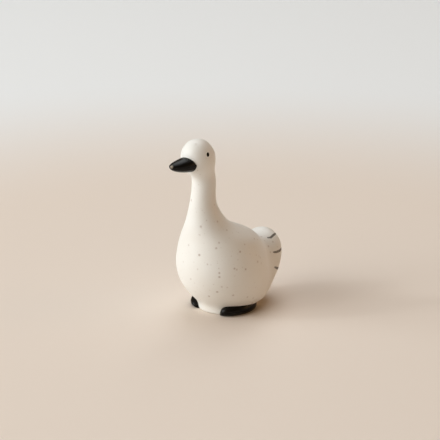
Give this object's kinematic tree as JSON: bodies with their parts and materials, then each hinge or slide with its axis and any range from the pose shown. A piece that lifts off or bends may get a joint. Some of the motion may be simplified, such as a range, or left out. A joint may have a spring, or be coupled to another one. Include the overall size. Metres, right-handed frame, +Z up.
{
  "type": "duck figurine",
  "caption": "Small standing ceramic duck with a long neck, a rounded body, an upturned tail and a low oval base, in speckled white glaze with a black beak and foot pads.",
  "frame": {"origin": "middle of the flat underside of the base, on the surface that the duck stands on", "axes": "+Z up from the base to the head, -Y the way the duck faces, +X its left side"},
  "size_m": [0.0368, 0.0601, 0.073],
  "materials": {
    "white_glaze": "satin warm-white glaze with sparse brown-grey specks",
    "black_glaze": "glossy black glaze on the beak, the eyes and the foot pads"
  },
  "bodies": {
    "root": {"duck_figurine": "white_glaze"}
  },
  "joints": []
}
